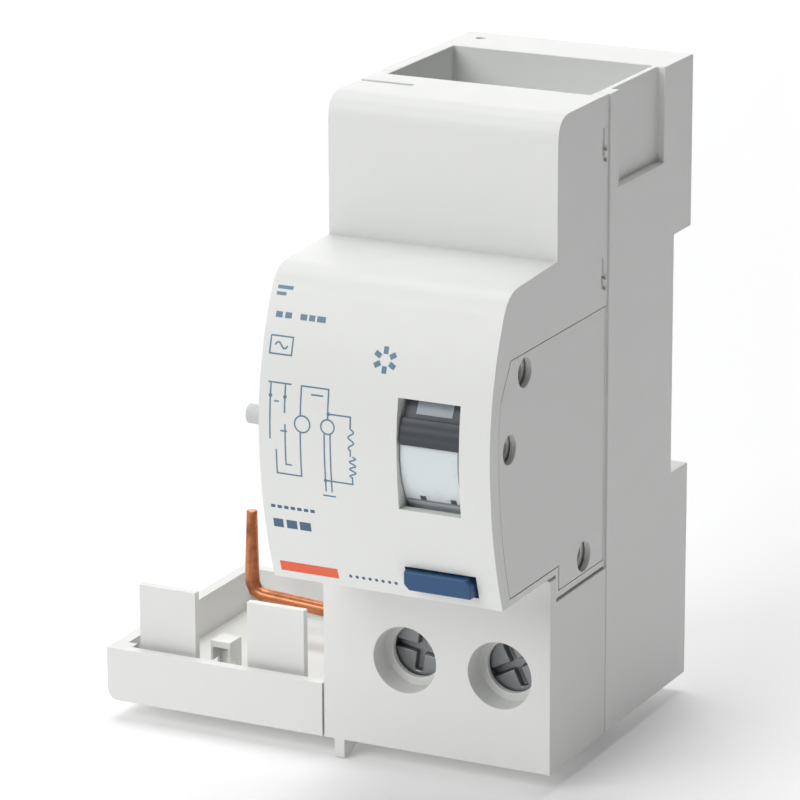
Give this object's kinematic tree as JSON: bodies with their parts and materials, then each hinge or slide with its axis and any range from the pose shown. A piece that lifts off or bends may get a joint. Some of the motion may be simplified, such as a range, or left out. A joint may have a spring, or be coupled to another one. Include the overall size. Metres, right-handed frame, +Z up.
{
  "type": "residual current add-on block",
  "caption": "Earth leakage block for a DIN rail that couples to the side of a circuit breaker, with reset toggle, test button and screw terminals.",
  "frame": {"origin": "rail seat in the rear notch, middle of the 35 mm body width and of the notch height", "axes": "+Z up, front faces -Y, right side is +X; +Y is the outward normal of the rail seat"},
  "size_m": [0.0702, 0.0658, 0.0951],
  "materials": {
    "housing_white": "fine satin moulding",
    "housing_grey_white": "fine satin moulding",
    "drum_white": "smooth",
    "charcoal": "matte",
    "blue": "satin",
    "copper": "bare drawn copper",
    "brass": "stamped",
    "steel": "zinc plated",
    "dark_steel": "dark plated",
    "grey_plastic": "moulded",
    "core_grey": "coated core",
    "enamel_wire": "enamelled winding",
    "board_green": "solder resist",
    "black_plastic": "sleeve",
    "resistor_tan": "ceramic"
  },
  "bodies": {
    "housing": {"rear_base": "housing_white", "front_cover": "housing_white", "side_panel": "housing_white", "terminal_housing": "housing_grey_white", "breaker_tray": "housing_grey_white", "toggle_pin": "steel", "toggle_spring": "steel", "test_button_spring": "steel", "test_spring_seat": "grey_plastic", "test_contact": "copper", "lever_pin": "steel", "mechanism_plate": "grey_plastic", "relay_yoke": "steel", "relay_coil": "enamel_wire", "relay_spring": "steel", "toroid_core": "core_grey", "toroid_winding": "enamel_wire", "pole_conductor_1": "copper", "pole_conductor_2": "copper", "terminal_bar_1": "brass", "terminal_bar_2": "brass", "circuit_board": "board_green", "filter_capacitor": "black_plastic", "test_resistor": "resistor_tan", "clip_spring": "steel"},
    "toggle": {"toggle_drum": "drum_white", "toggle_grip": "charcoal"},
    "button": {"test_button": "blue"},
    "leaf": {"test_leaf": "copper"},
    "trip_shaft": {"trip_shaft": "grey_plastic"},
    "trip_lever": {"trip_lever": "grey_plastic"},
    "plunger": {"relay_plunger": "dark_steel"},
    "screw_1": {"terminal_screw_1": "dark_steel"},
    "screw_2": {"terminal_screw_2": "dark_steel"},
    "cage_1": {"terminal_cage_1": "steel"},
    "cage_2": {"terminal_cage_2": "steel"},
    "rail_clip": {"rail_clip": "grey_plastic"}
  },
  "joints": [
    {"name": "toggle_reset", "type": "hinge", "parent": "housing", "child": "toggle", "pos_m": [0.0081, -0.0459, 0], "axis": [1, 0, 0], "range_deg": [0, 40]},
    {"name": "trip_shaft_turn", "type": "hinge", "parent": "housing", "child": "trip_shaft", "pos_m": [-0.0105, -0.0535, 0.0006], "axis": [1, 0, 0], "range_deg": [0, 30.1]},
    {"name": "test_press", "type": "slide", "parent": "housing", "child": "button", "axis": [0, 1, 0], "range_m": [0, 0.0015], "stiffness_N_per_m": 600, "springref_m": -0.0015, "deforming": ["test_button_spring"]},
    {"name": "leaf_flex", "type": "hinge", "parent": "housing", "child": "leaf", "pos_m": [0.0087, -0.045, -0.006], "axis": [1, 0, 0], "range_deg": [0, 7.1]},
    {"name": "plunger_stroke", "type": "slide", "parent": "housing", "child": "plunger", "axis": [0, 0, -1], "range_m": [0, 0.0014], "stiffness_N_per_m": 300, "springref_m": -0.001, "deforming": ["relay_spring"]},
    {"name": "lever_tip", "type": "hinge", "parent": "housing", "child": "trip_lever", "pos_m": [-0.006, -0.04, 0.007], "axis": [-1, 0, 0], "range_deg": [0, 9.8]},
    {"name": "screw_1_turn", "type": "hinge", "parent": "housing", "child": "screw_1", "pos_m": [-0.0048, -0.0358, -0.0364], "axis": [0, 1, 0], "range_deg": [0, 1440.1]},
    {"name": "cage_1_lift", "type": "slide", "parent": "housing", "child": "cage_1", "axis": [0, -1, 0], "range_m": [0, 0.0032]},
    {"name": "screw_2_turn", "type": "hinge", "parent": "housing", "child": "screw_2", "pos_m": [0.0098, -0.0358, -0.0364], "axis": [0, 1, 0], "range_deg": [0, 1440.1]},
    {"name": "cage_2_lift", "type": "slide", "parent": "housing", "child": "cage_2", "axis": [0, -1, 0], "range_m": [0, 0.0032]},
    {"name": "clip_pull", "type": "slide", "parent": "housing", "child": "rail_clip", "axis": [0, 0, -1], "range_m": [0, 0.004], "stiffness_N_per_m": 800, "springref_m": -0.002, "deforming": ["clip_spring"]}
  ],
  "couplings": [
    {"joint": "trip_shaft_turn", "follows": "toggle_reset", "ratio": 0.75},
    {"joint": "leaf_flex", "follows": "test_press", "rad_per_m": 82},
    {"joint": "lever_tip", "follows": "plunger_stroke", "rad_per_m": 120.5},
    {"joint": "screw_1_turn", "follows": "cage_1_lift", "rad_per_m": 7854},
    {"joint": "screw_2_turn", "follows": "cage_2_lift", "rad_per_m": 7854}
  ]
}
